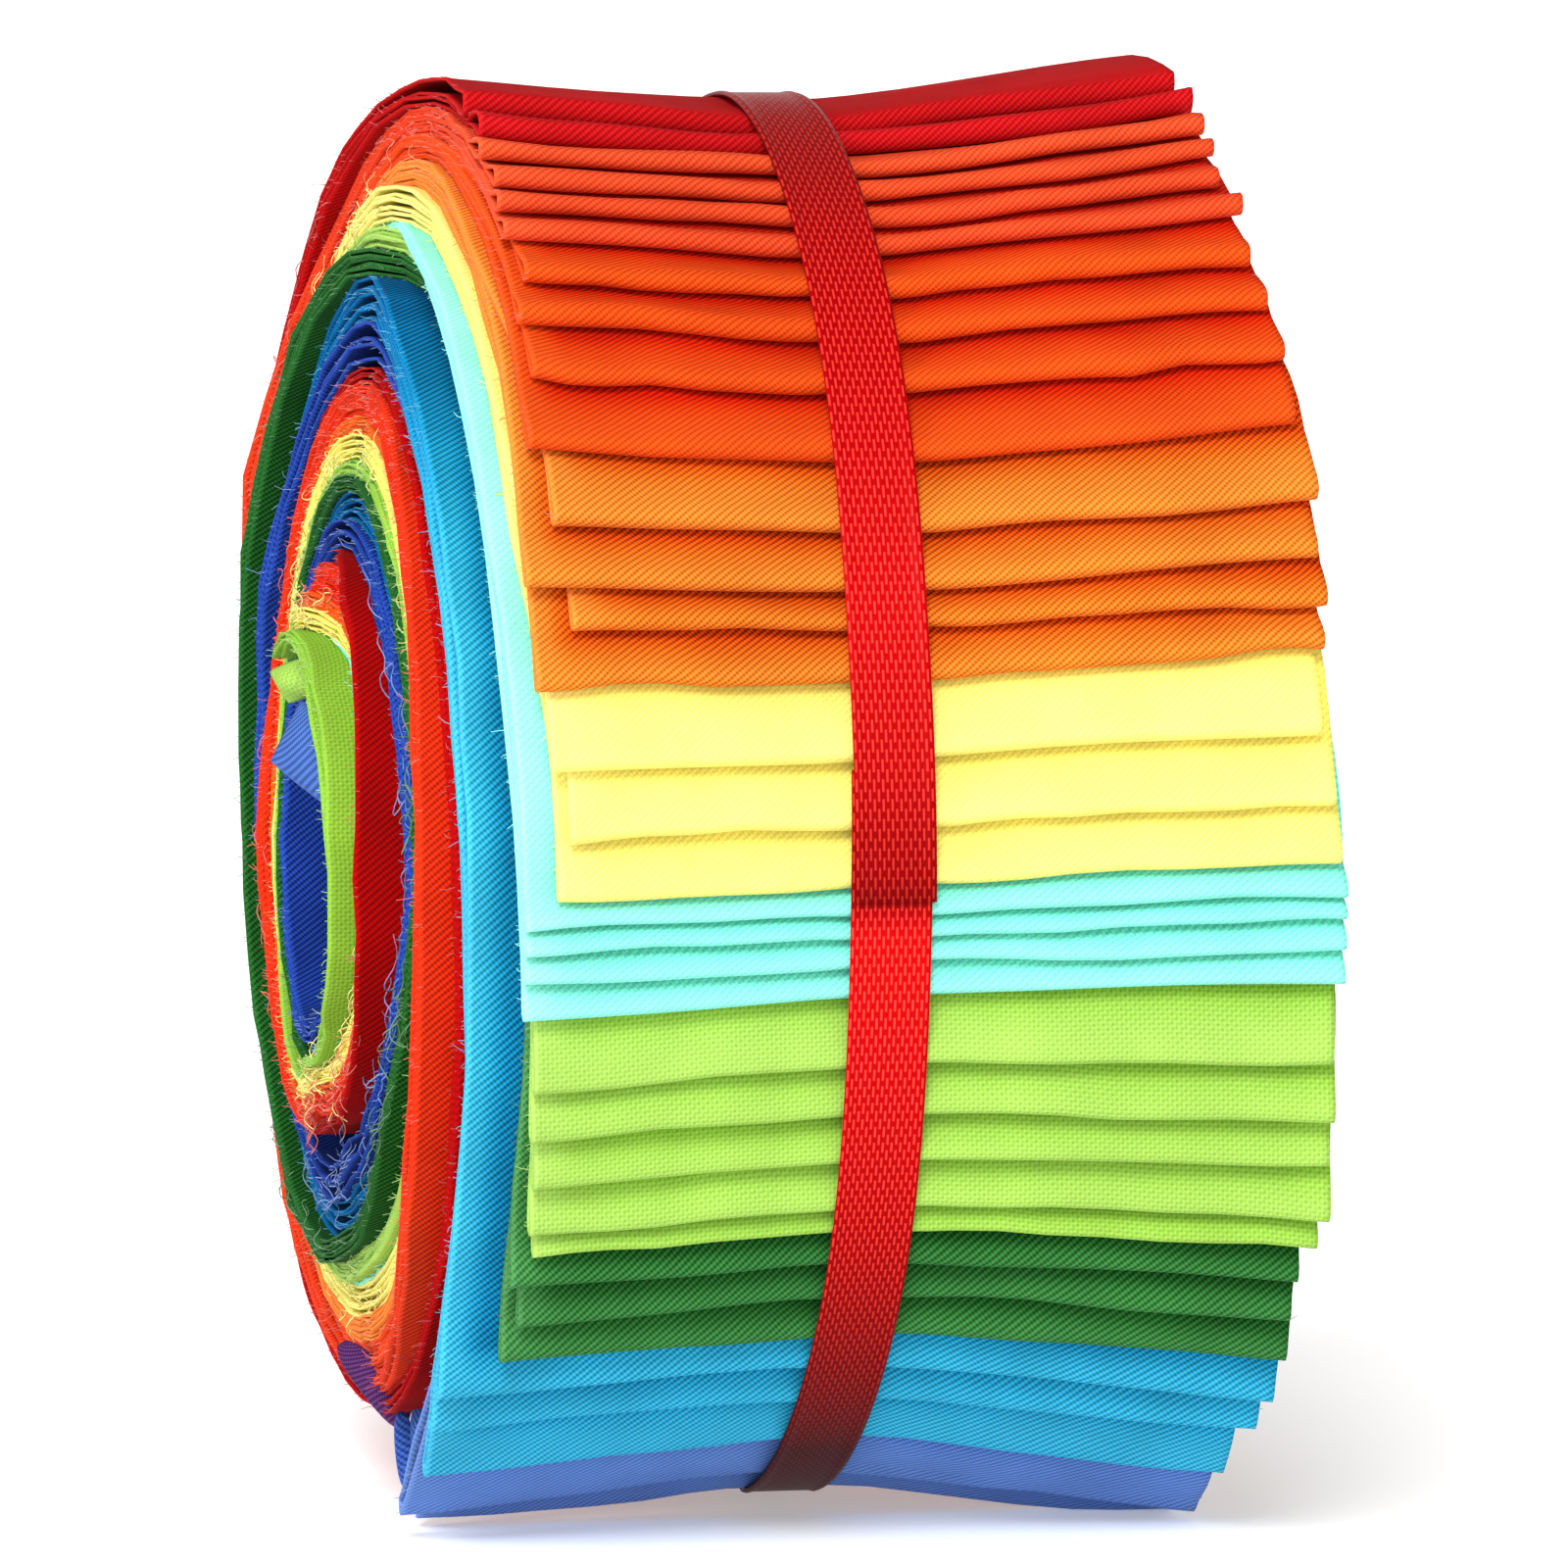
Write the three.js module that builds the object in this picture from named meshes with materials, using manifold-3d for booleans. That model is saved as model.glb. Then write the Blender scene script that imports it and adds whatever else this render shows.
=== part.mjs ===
// A bundle of cotton patchwork strips, folded in half, fanned by colour, rolled up and tied with a ribbon.
// Millimetres, +Z up. The roll's axis runs along X, the fanned folds face -Y, the roll stands on z = 0.
import * as THREE from "three";
import { mergeVertices } from "three/addons/utils/BufferGeometryUtils.js";
import Module from "manifold-3d";

// Driving sizes.
const stripWidth = 63.5;
const waistRadius = 57.7; // of the roll, under the ribbon
const leftRimRadius = 59.8;
const rightRimRadius = 61.8;
const leftFlareLength = 25; // from the ribbon's edge to the rim
const rightFlareLength = 29;
const centreHeight = 59.3; // less than the rims' radii, so that the roll has a flat spot
const windingDrop = 5; // the winding's own centre lies this far below the outline's
const ribbonWidth = 6.4;
const ribbonThickness = 1;
const ribbonX = -2.6; // before the shift to the middle of the box
const clearance = 0.35; // between pieces that lie on each other
const foldedThickness = 1.3; // of a strip's folded end, both plies
const tuckedThickness = 1; // of the flatter stretch under the strip above
const topStripEnd = -19.5; // where the top strip joins the skin of the back, in degrees
const noseLength = 0.6; // of the round of a fold, in degrees
const noseShares = [0.4, 0.75]; // how deep the fold's blunt end starts and stops
const ridgeBend = 1.5; // how steeply a strip rises from under the one above to its own fold
const longestTuck = 3; // how far a strip's own solid reaches under the one above, in degrees
const tuckDip = 0.6;
const innerCoilLeft = -41; // how far the middle of the roll stands out
const blueLeft = -36.5; // of the green and blue plies on the inside of the outer turn
const ledgeShare = 0.25; // of the outer turn's depth that those plies take
const ledgeSlant = 3; // how far the other plies lean over to them
const rightReach = 33;
const pressed = 0.4; // how far one turn is pressed into the next
const toBoxMiddle = -(innerCoilLeft + rightReach) / 2;
const windingHeight = centreHeight - windingDrop;
const turn = 360;
const cutEnd = 932; // where the winding ends, just over the top of its third turn
const turnStep = 9;

// Where the roll's skin has its lengthwise lines, and where a folded end has them.
const ribbonSides = [ribbonX - ribbonWidth / 2, ribbonX + ribbonWidth / 2];
const footLine = 6; // from the skin's left edge, beside the flat spot
const skinLines = [-20, -11, ...ribbonSides, 8, 18];
const foldLines = [-20, -11, ...ribbonSides, 10, 20];

const colours = {
  dark_red: { hex: 0xb20e14, roughness: 0.82 },
  orange_red: { hex: 0xe85a28, roughness: 0.82 },
  deep_orange: { hex: 0xe84a14, roughness: 0.82 },
  orange: { hex: 0xf08e2d, roughness: 0.82 },
  yellow: { hex: 0xfbf08a, roughness: 0.84 },
  aqua: { hex: 0x92efe0, roughness: 0.84 },
  lime: { hex: 0xa8dc5a, roughness: 0.88 },
  dark_green: { hex: 0x2d7038, roughness: 0.82 },
  cerulean: { hex: 0x2696bf, roughness: 0.82 },
  periwinkle: { hex: 0x4e70b4, roughness: 0.82 },
  ribbon_red: { hex: 0xc0141a, roughness: 0.38 },
};

// One row for each strip, from the top of the fan to its foot. fold is the angle of the folded end,
// from straight up towards the front, skew what it gains from left to right, in degrees.
const strips = [
  { colour: "dark_red", fold: 14, skew: 0, left: -31.5, right: 28.5 },
  { colour: "dark_red", fold: 19, skew: -1, left: -30.5, right: 30 },
  { colour: "orange_red", fold: 24, skew: 0, left: -31, right: 29.5 },
  { colour: "orange_red", fold: 28, skew: -1, left: -30, right: 29.5 },
  { colour: "orange_red", fold: 31.5, skew: -0.5, left: -29.5, right: 29 },
  { colour: "orange_red", fold: 35, skew: 0, left: -29.5, right: 30 },
  { colour: "deep_orange", fold: 40, skew: 0.5, left: -28.5, right: 29.5 },
  { colour: "deep_orange", fold: 44.5, skew: 0.5, left: -29.5, right: 30 },
  { colour: "deep_orange", fold: 49.5, skew: 0, left: -29, right: 30.5 },
  { colour: "deep_orange", fold: 55.5, skew: -1, left: -30, right: 30.5 },
  { colour: "orange", fold: 61.5, skew: -0.5, left: -28.5, right: 31.5 },
  { colour: "orange", fold: 66, skew: -1.5, left: -31, right: 31 },
  { colour: "orange", fold: 69, skew: -0.5, left: -27.5, right: 31.5 },
  { colour: "orange", fold: 73, skew: -2, left: -30.5, right: 31 },
  { colour: "yellow", fold: 79, skew: -2, left: -29.5, right: 30.5 },
  { colour: "yellow", fold: 84, skew: -2, left: -28, right: 31.5 },
  { colour: "yellow", fold: 88.5, skew: -2.5, left: -29, right: 32 },
  { colour: "aqua", fold: 91, skew: -2, left: -31.5, right: 32.5 },
  { colour: "aqua", fold: 92.8, skew: -2, left: -31.5, right: 32.5 },
  { colour: "aqua", fold: 95, skew: -2, left: -31.5, right: 32.5 },
  { colour: "aqua", fold: 97.5, skew: -2, left: -31.5, right: 32.5 },
  { colour: "lime", fold: 103.5, skew: -2, left: -30.5, right: 32 },
  { colour: "lime", fold: 108, skew: -1, left: -30.5, right: 32.5 },
  { colour: "lime", fold: 112, skew: -2, left: -30, right: 32.5 },
  { colour: "lime", fold: 116.5, skew: -1.5, left: -30, right: 33 },
  { colour: "lime", fold: 119, skew: -1, left: -29.5, right: 32.5 },
  { colour: "dark_green", fold: 122.5, skew: -1, left: -31, right: 31.5 },
  { colour: "dark_green", fold: 126.5, skew: -1, left: -30, right: 31.5 },
  { colour: "dark_green", fold: 131, skew: -0.5, left: -31, right: 32 },
  { colour: "cerulean", fold: 136, skew: 1, left: -35.5, right: 32 },
  { colour: "cerulean", fold: 141, skew: 0.5, left: -35.5, right: 31.5 },
  { colour: "cerulean", fold: 149, skew: 0, left: -35, right: 30.5 },
  { colour: "periwinkle", fold: 160, skew: 0, left: -35.5, right: 30.5 },
  { colour: "periwinkle", fold: 168, skew: 0, left: -33, right: 30 },
];

// The stack's way from the foot of the fan up the front, over the top and round to the middle.
// at counts degrees from the lowest point. left is the stack's left side at its outer ply.
const winding = [
  { at: 0, outer: 50.5, inner: 49, left: -35.5 },
  { at: 45, outer: 53.5, inner: 48, left: -35.5 },
  { at: 54, outer: 54, inner: 48, left: -31.3 },
  { at: 180, outer: 64.8, inner: 40.5, left: -31.5 },
  { at: 270, outer: 59.6, inner: 38, left: -32.5 },
  { at: 350, outer: 54.5, inner: 29, left: -33 },
  { at: 371, outer: 49.4, inner: 27, left: -37.5 },
  { at: 450, outer: 46, inner: 26, left: -39.5 },
  { at: 540, outer: 40.5, inner: 25.5, left: -39 },
  { at: 630, outer: 38, inner: 24.5, left: -37.5 },
  { at: 720, outer: 27, inner: 13, left: -38.5 },
  { at: 810, outer: 26, inner: 13, left: innerCoilLeft },
  { at: 900, outer: 25.5, inner: 12.5, left: innerCoilLeft },
  { at: 932, outer: 25, inner: 12, left: -40.5 },
];

// Where the stack's skin lies below the outline: under the fan, and where the back has sagged in.
const skinDepths = [
  { at: 11, depth: 3.7 },
  { at: 166, depth: 3.7 },
  { at: 200, depth: foldedThickness + clearance },
  { at: 201, depth: 0 },
  { at: 300, depth: 0 },
  { at: 336, depth: 3.4 },
  { at: 350, depth: 0 },
  { at: 368, depth: 0 },
  { at: 371, depth: 5 },
];

const radians = THREE.MathUtils.degToRad;

function along(table, at, column) {
  const next = table.findIndex((row) => row.at >= at);
  if (next <= 0) return table.at(next)[column];
  const [a, b] = [table[next - 1], table[next]];
  return THREE.MathUtils.mapLinear(at, a.at, b.at, a[column], b[column]);
}

// The roll's radius grows evenly from the ribbon to both rims.
function rollRadius(x) {
  const beside = Math.max(0, Math.abs(x - ribbonX) - ribbonWidth / 2);
  if (x < ribbonX) return waistRadius + ((leftRimRadius - waistRadius) * beside) / leftFlareLength;
  return waistRadius + ((rightRimRadius - waistRadius) * beside) / rightFlareLength;
}

// From the winding's centre to the outline, which is cut off level where the roll stands.
function outline(angle, x) {
  const [s, c] = [Math.sin(radians(angle)), Math.cos(radians(angle))];
  const round = windingDrop * c + Math.sqrt(rollRadius(x) ** 2 - (windingDrop * s) ** 2);
  return c < 0 ? Math.min(round, windingHeight / -c) : round;
}

function place(x, angle, radius) {
  const [s, c] = [Math.sin(radians(angle)), Math.cos(radians(angle))];
  return new THREE.Vector3(x + toBoxMiddle, -radius * s, windingHeight + radius * c);
}

// A closed body through a row of sections with the same number of points.
function bodyThrough(sections) {
  const count = sections[0].length;
  const position = sections.flat().flatMap((p) => [p.x, p.y, p.z]);
  const index = [];
  for (let row = 0; row + 1 < sections.length; row += 1) {
    for (let i = 0; i < count; i += 1) {
      const [a, b] = [row * count + i, row * count + ((i + 1) % count)];
      index.push(a, b, b + count, a, b + count, a + count);
    }
  }
  const last = (sections.length - 1) * count;
  for (const [i, j, k] of capTriangles(sections[0])) index.push(i, k, j);
  for (const [i, j, k] of capTriangles(sections.at(-1))) index.push(last + i, last + j, last + k);
  const geometry = new THREE.BufferGeometry();
  geometry.setAttribute("position", new THREE.Float32BufferAttribute(position, 3));
  geometry.setIndex(volume(position, index) < 0 ? index.reverse() : index);
  return geometry;
}

// The triangles of a flat section, wound the way its points run.
function capTriangles(section) {
  const [origin, normal] = [section[0], new THREE.Vector3()];
  section.forEach((p, i) => normal.add(p.clone().cross(section[(i + 1) % section.length])));
  const u = section[1].clone().sub(origin).normalize();
  const v = normal.normalize().cross(u);
  const flat = section.map((p) => {
    const q = p.clone().sub(origin);
    return new THREE.Vector2(q.dot(u), q.dot(v));
  });
  return THREE.ShapeUtils.triangulateShape(flat, []);
}

function volume(position, index) {
  const corner = (i) => new THREE.Vector3().fromArray(position, 3 * i);
  let sum = 0;
  for (let i = 0; i < index.length; i += 3) {
    sum += corner(index[i]).dot(corner(index[i + 1]).cross(corner(index[i + 2])));
  }
  return sum;
}

// Angles to stop at between two others: at even steps, and where the skin changes.
function stops(from, to) {
  const all = [from, to, ...skinDepths.map((row) => row.at)];
  for (let at = turnStep * Math.ceil(from / turnStep); at < to; at += turnStep) all.push(at);
  return [...new Set(all)].filter((at) => at >= from && at <= to).sort((a, b) => a - b);
}

// The outer turn: its skin has the roll's waist, and the blue plies inside it stand out at the left.
function outerTurn(from, to) {
  return bodyThrough(stops(from, to).map((at) => {
    const left = along(winding, at, "left");
    const right = Math.min(left + stripWidth, rightReach - 0.5);
    const inner = along(winding, at + turn, "outer") - pressed;
    const skin = (x) => outline(180 - at, x) - along(skinDepths, at, "depth");
    const ledge = inner + (skin(left) - inner) * ledgeShare;
    const middle = Math.max(left - ledgeSlant, blueLeft + pressed);
    const blueRight = blueLeft + stripWidth;
    return [
      ...[left, left + footLine, ...skinLines, right].map((x) => place(x, 180 - at, skin(x))),
      place(right - ledgeSlant, 180 - at, ledge),
      place(blueRight, 180 - at, ledge),
      place(blueRight, 180 - at, inner),
      place(blueLeft, 180 - at, inner),
      place(blueLeft, 180 - at, ledge),
      place(middle, 180 - at, ledge),
    ];
  }));
}

// A turn further in. The last one leaves the roll's eye open, and so does the one before it from
// where the winding ends.
function innerTurn(from, to) {
  return bodyThrough(stops(from, to).map((at) => {
    const left = along(winding, at, "left");
    const outer = along(winding, at, "outer");
    const inner = along(winding, at, "inner") - (at + turn <= cutEnd ? pressed : 0);
    return [
      place(left, 180 - at, outer),
      place(left + stripWidth, 180 - at, outer),
      place(left + stripWidth, 180 - at, inner),
      place(left + 1, 180 - at, inner),
    ];
  }));
}

// A strip's folded end: a ridge along the fold, sloping in to where the strip above covers it.
function foldedEnd(row) {
  const strip = strips[row];
  const middle = (strip.left + strip.right) / 2;
  const at = (other, x) => other.fold + (other.skew * (x - middle)) / (strip.right - strip.left);
  const shares = row > 0 ? [0.4] : [0.2, 0.4, 0.6, 0.8];
  return bodyThrough([strip.left, ...foldLines, strip.right].map((x) => {
    const fold = at(strip, x);
    const above = row > 0 ? at(strips[row - 1], x) : topStripEnd + 1;
    const higher = row > 1 ? at(strips[row - 2], x) : above - 2 * longestTuck;
    const tuck = row > 0 ? Math.min(longestTuck, (above - higher) / 2) : 1;
    const covered = row > 0 ? foldedThickness + clearance : 0;
    const tucked = row > 0 ? covered + tuckDip : 0.1;
    const point = (angle, depth) => place(x, angle, outline(angle, x) - depth);
    const slope = (share, below) => (
      point(above + (fold - above) * share, covered * (1 - share) ** ridgeBend + below)
    );
    const nose = fold - noseLength;
    return [
      point(above - tuck, tucked),
      point(above, covered),
      ...shares.map((share) => slope(share, 0)),
      point(nose, 0),
      point(fold, foldedThickness * noseShares[0]),
      point(fold, foldedThickness * noseShares[1]),
      point(nose, foldedThickness),
      ...shares.map((share) => slope(share, foldedThickness)).reverse(),
      point(above, covered + tuckedThickness),
      point(above - tuck, tucked + tuckedThickness),
    ];
  }));
}

// The ribbon goes once round the waist, and its upper end laps over its lower one at the front.
function ribbon() {
  const [from, to] = [80, 448.5];
  const [rise, risen] = [424, 438];
  const steps = 66;
  const [left, right] = ribbonSides;
  return bodyThrough(Array.from({ length: steps + 1 }, (_, i) => {
    const angle = from + ((to - from) * i) / steps;
    const lift = THREE.MathUtils.smoothstep(angle, rise, risen) * (ribbonThickness + clearance);
    const under = outline(angle, ribbonX) + clearance + lift;
    return [
      place(left, angle, under),
      place(right, angle, under),
      place(right, angle, under + ribbonThickness),
      place(left, angle, under + ribbonThickness),
    ];
  }));
}

const wasm = await Module();
wasm.setup();

function toManifold(geometry) {
  const merged = mergeVertices(geometry);
  return new wasm.Manifold(new wasm.Mesh({
    numProp: 3,
    vertProperties: new Float32Array(merged.attributes.position.array),
    triVerts: new Uint32Array(merged.index.array),
  }));
}

function joined(geometries) {
  const mesh = geometries.map(toManifold).reduce((a, b) => a.add(b)).getMesh();
  const geometry = new THREE.BufferGeometry();
  geometry.setAttribute("position", new THREE.BufferAttribute(mesh.vertProperties, 3));
  geometry.setIndex(new THREE.BufferAttribute(mesh.triVerts, 1));
  return geometry;
}

function piece(name, geometry, colour) {
  const { hex, roughness } = colours[colour];
  const material = new THREE.MeshStandardMaterial({ color: hex, roughness, metalness: 0 });
  const mesh = new THREE.Mesh(geometry, material);
  mesh.name = name;
  return mesh;
}

const group = new THREE.Group();
const turns = [
  outerTurn(11, 198),
  outerTurn(189, 371),
  innerTurn(368, 549),
  innerTurn(540, 729),
  innerTurn(720, cutEnd),
];
group.add(piece("wound_roll", joined(turns), "dark_red"));
strips.forEach((strip, row) => {
  const name = `strip_${String(row + 1).padStart(2, "0")}_${strip.colour}`;
  group.add(piece(name, foldedEnd(row), strip.colour));
});
group.add(piece("ribbon_tie", ribbon(), "ribbon_red"));

export default group;
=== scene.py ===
# %% [markdown]
# # A rolled bundle of patchwork strips
#
# Thirty-four cotton strips, each 63.5 mm wide and about a metre long, are folded in half and laid on each
# other in rainbow order, every fold a little further on than the last. The stack is rolled up from its cut
# ends, so that the folds come to lie over each other like roof tiles on the front, and a satin ribbon is
# tied round it.
#
# Everything here follows from one idea: a strip is a long sheet of cloth, and its place at any point is
# given by three numbers, how far it has been wound, how deep it lies in the stack and how far it is from
# the left.

import math
from collections import namedtuple

import bmesh
import bpy
import numpy as np
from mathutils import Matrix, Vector


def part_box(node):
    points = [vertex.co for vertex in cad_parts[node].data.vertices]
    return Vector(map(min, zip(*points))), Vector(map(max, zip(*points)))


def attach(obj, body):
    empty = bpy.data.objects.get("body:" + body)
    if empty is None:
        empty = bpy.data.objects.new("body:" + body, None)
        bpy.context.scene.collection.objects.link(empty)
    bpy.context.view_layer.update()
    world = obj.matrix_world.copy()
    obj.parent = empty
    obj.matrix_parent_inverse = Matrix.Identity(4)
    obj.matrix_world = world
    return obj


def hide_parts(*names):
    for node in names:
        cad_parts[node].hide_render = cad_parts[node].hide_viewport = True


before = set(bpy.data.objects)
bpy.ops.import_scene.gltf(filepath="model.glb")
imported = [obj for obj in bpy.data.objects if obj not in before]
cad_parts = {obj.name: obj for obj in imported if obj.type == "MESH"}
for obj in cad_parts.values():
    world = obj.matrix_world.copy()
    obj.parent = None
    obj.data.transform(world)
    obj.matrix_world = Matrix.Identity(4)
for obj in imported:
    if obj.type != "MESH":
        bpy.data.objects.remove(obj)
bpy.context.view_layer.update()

# %% [markdown]
# ## The camera
#
# The photograph was taken from a little to the left of the front and a little above, with a long lens,
# which keeps the far side of the roll nearly as large as the near one. A long lens stands far off, so the
# camera's distance and its focal length were chosen together until the roll's outline fitted.

# %% Place the camera
VIEW_AZIMUTH = math.radians(-11.0)
VIEW_ELEVATION = math.radians(3.5)
VIEW_DISTANCE = 0.72
LENS_MM = 197.6
FRAMING_SHIFT = 0.005
OUTLINE_CENTRE = Vector((0.004, 0.0, 0.0593))

towards_camera = Vector((
    math.sin(VIEW_AZIMUTH) * math.cos(VIEW_ELEVATION),
    -math.cos(VIEW_AZIMUTH) * math.cos(VIEW_ELEVATION),
    math.sin(VIEW_ELEVATION),
))
camera = bpy.data.objects.new("camera", bpy.data.cameras.new("camera"))
camera.data.lens = LENS_MM
camera.data.sensor_width = 36.0
camera.data.shift_y = FRAMING_SHIFT
camera.data.clip_end = 50.0
camera.location = OUTLINE_CENTRE + VIEW_DISTANCE * towards_camera
camera.rotation_euler = (math.pi / 2 - VIEW_ELEVATION, 0.0, VIEW_AZIMUTH)
bpy.context.scene.collection.objects.link(camera)
bpy.context.scene.camera = camera
print("the camera stands", round(camera.location.length, 3), "m from the origin")

# %% [markdown]
# ## Light and floor
#
# The photograph has the even light of a product shot. A pale sky fills the shadows, a wide sun from the
# front left gives the folds their ridges and shadows, and two weak lamps lift the end of the roll and its
# underside. The floor is a white sweep that rises gently far away, so that no horizon shows, and glows a
# little, as a light table does, so that it stays white and lifts the roll's underside.

# %% Light the stage
SKY_STRENGTH = 0.4
SUN_STRENGTH = 2.7
SUN_SPREAD = math.radians(24.0)
SUN_FROM = (-0.28, -0.78, 0.62)
FLOOR_REACH = 15.0
FLOOR_CELLS = 60
FLOOR_WHITE = (0.97, 0.97, 0.97, 1.0)
FLOOR_GLOW = 0.28
SWEEP_START = 2.0
SWEEP_RISE = 0.03


def area_lamp(name, place, size, watts):
    """A square lamp that shines on the middle of the roll."""
    lamp = bpy.data.objects.new(name, bpy.data.lights.new(name, "AREA"))
    lamp.data.size = size
    lamp.data.energy = watts
    lamp.location = place
    lamp.rotation_euler = (OUTLINE_CENTRE - Vector(place)).to_track_quat("-Z", "Y").to_euler()
    bpy.context.scene.collection.objects.link(lamp)
    return lamp


world = bpy.data.worlds.new("studio")
bpy.context.scene.world = world
world.use_nodes = True
world.node_tree.nodes["Background"].inputs["Color"].default_value = (1.0, 1.0, 1.0, 1.0)
world.node_tree.nodes["Background"].inputs["Strength"].default_value = SKY_STRENGTH
sun = bpy.data.objects.new("sun", bpy.data.lights.new("sun", "SUN"))
sun.data.energy = SUN_STRENGTH
sun.data.angle = SUN_SPREAD
sun.rotation_euler = (-Vector(SUN_FROM)).to_track_quat("-Z", "Y").to_euler()
bpy.context.scene.collection.objects.link(sun)
area_lamp("side_lamp", (-0.9, -0.35, 0.45), 0.3, 3.5)
area_lamp("front_lamp", (-0.15, -0.95, 0.06), 0.5, 3.0)

floor_form = bmesh.new()
bmesh.ops.create_grid(floor_form, x_segments=FLOOR_CELLS, y_segments=FLOOR_CELLS, size=FLOOR_REACH)
for corner in floor_form.verts:
    corner.co.z = SWEEP_RISE * max(0.0, corner.co.xy.length - SWEEP_START) ** 2
for face in floor_form.faces:
    face.smooth = True
floor_mesh = bpy.data.meshes.new("floor")
floor_form.to_mesh(floor_mesh)
floor_form.free()
floor = bpy.data.objects.new("floor", floor_mesh)
bpy.context.scene.collection.objects.link(floor)
floor_paint = bpy.data.materials.new("pale_floor")
floor_paint.use_nodes = True
floor_shader = floor_paint.node_tree.nodes["Principled BSDF"]
floor_shader.inputs["Base Color"].default_value = FLOOR_WHITE
floor_shader.inputs["Roughness"].default_value = 1.0
floor_shader.inputs["Specular IOR Level"].default_value = 0.0
floor_shader.inputs["Emission Color"].default_value = (1.0, 1.0, 1.0, 1.0)
floor_shader.inputs["Emission Strength"].default_value = FLOOR_GLOW
floor_mesh.materials.append(floor_paint)
bpy.context.scene.view_settings.view_transform = "Standard"

# %% [markdown]
# ## The roll in numbers
#
# All lengths here are millimetres, and x counts from the middle of the folded ends. Angles on the roll's
# outline count from straight up towards the front. The winding is counted the other way, from the roll's
# lowest point up the front, over the top, down the back and so on inwards, because that is the way a strip
# runs from its fold to its cut ends.

# %% Sizes of the roll
MM = 0.001
STRIP_WIDTH = 63.5
WAIST_RADIUS = 57.7
LEFT_RIM_RADIUS = 59.8
RIGHT_RIM_RADIUS = 61.8
LEFT_FLARE_LENGTH = 25.0
RIGHT_FLARE_LENGTH = 29.0
CENTRE_HEIGHT = 59.3
WINDING_DROP = 5.0
WINDING_HEIGHT = CENTRE_HEIGHT - WINDING_DROP
RIBBON_WIDTH = 6.4
RIBBON_X = -2.6
CORE_LEFT = -41.0
FOLD_DEPTH = 1.65
TOP_STRIP_END = -19.5
TO_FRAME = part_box("wound_roll")[0].x / MM - CORE_LEFT
print("the roll's x counts from", round(TO_FRAME, 2), "mm in the frame")

# %% [markdown]
# Each strip has a row: its colour, the angle of its fold, how much that angle gains from left to right, and
# where the fold starts and stops across the roll. A second table follows the whole stack inwards.

# %% Tables of strips and winding
Strip = namedtuple("Strip", "colour fold skew left right")
STRIPS = [
    Strip("dark_red", 14.0, 0.0, -29.4, 29.6),
    Strip("dark_red", 19.0, -1.0, -29.0, 30.0),
    Strip("orange_red", 24.0, 0.0, -29.8, 29.5),
    Strip("orange_red", 28.0, -1.0, -29.2, 29.5),
    Strip("orange_red", 31.5, -0.5, -29.5, 29.0),
    Strip("orange_red", 35.0, 0.0, -29.5, 30.0),
    Strip("deep_orange", 40.0, 0.5, -28.5, 29.5),
    Strip("deep_orange", 44.5, 0.5, -29.5, 30.0),
    Strip("deep_orange", 49.5, 0.0, -29.0, 30.5),
    Strip("deep_orange", 55.5, -1.0, -30.0, 30.5),
    Strip("orange", 61.5, -0.5, -28.5, 31.5),
    Strip("orange", 66.0, -1.5, -31.0, 31.0),
    Strip("orange", 69.0, -0.5, -27.5, 31.5),
    Strip("orange", 73.0, -2.0, -30.5, 31.0),
    Strip("yellow", 79.0, -2.0, -29.5, 30.5),
    Strip("yellow", 84.0, -2.0, -28.0, 31.5),
    Strip("yellow", 88.5, -2.5, -29.0, 32.0),
    Strip("aqua", 91.0, -2.0, -31.5, 32.5),
    Strip("aqua", 92.8, -2.0, -31.5, 32.5),
    Strip("aqua", 95.0, -2.0, -31.5, 32.5),
    Strip("aqua", 97.5, -2.0, -31.5, 32.5),
    Strip("lime", 103.5, -2.0, -30.5, 32.0),
    Strip("lime", 108.0, -1.0, -30.5, 32.5),
    Strip("lime", 112.0, -2.0, -30.0, 32.5),
    Strip("lime", 116.5, -1.5, -30.0, 33.0),
    Strip("lime", 119.0, -1.0, -29.5, 32.5),
    Strip("dark_green", 122.5, -1.0, -31.0, 31.5),
    Strip("dark_green", 126.5, -1.0, -30.0, 31.5),
    Strip("dark_green", 131.0, -0.5, -31.0, 32.0),
    Strip("cerulean", 136.0, 1.0, -35.5, 32.0),
    Strip("cerulean", 141.0, 0.5, -35.5, 31.5),
    Strip("cerulean", 149.0, 0.0, -35.0, 30.5),
    Strip("periwinkle", 160.0, 0.0, -35.5, 30.5),
    Strip("periwinkle", 168.0, 0.0, -33.0, 30.0),
]
COUNT = len(STRIPS)

Winding = namedtuple("Winding", "at outer inner")
WINDING = [
    Winding(0, 50.5, 49.0),
    Winding(45, 53.5, 48.0),
    Winding(54, 54.0, 48.0),
    Winding(180, 64.8, 40.5),
    Winding(270, 59.6, 38.0),
    Winding(350, 50.0, 26.0),
    Winding(371, 45.0, 23.0),
    Winding(450, 46.0, 26.0),
    Winding(540, 40.5, 25.5),
    Winding(630, 38.0, 24.5),
    Winding(720, 21.8, 12.5),
    Winding(810, 26.0, 13.0),
    Winding(900, 25.5, 12.5),
    Winding(940, 25.0, 12.0),
]

# How far the back has sagged in below a round outline, by winding angle.
SAG_AT = (11.0, 285.0, 312.0, 330.0, 345.0, 360.0, 371.0)
SAG = (0.0, 0.0, 1.2, 4.2, 6.6, 8.4, 9.4)


def winding(at, column):
    """The stack's outer or inner radius at each winding angle."""
    return np.interp(at, [row.at for row in WINDING], [getattr(row, column) for row in WINDING])


print(COUNT, "strips in", len(set(s.colour for s in STRIPS)), "colours")

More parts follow.
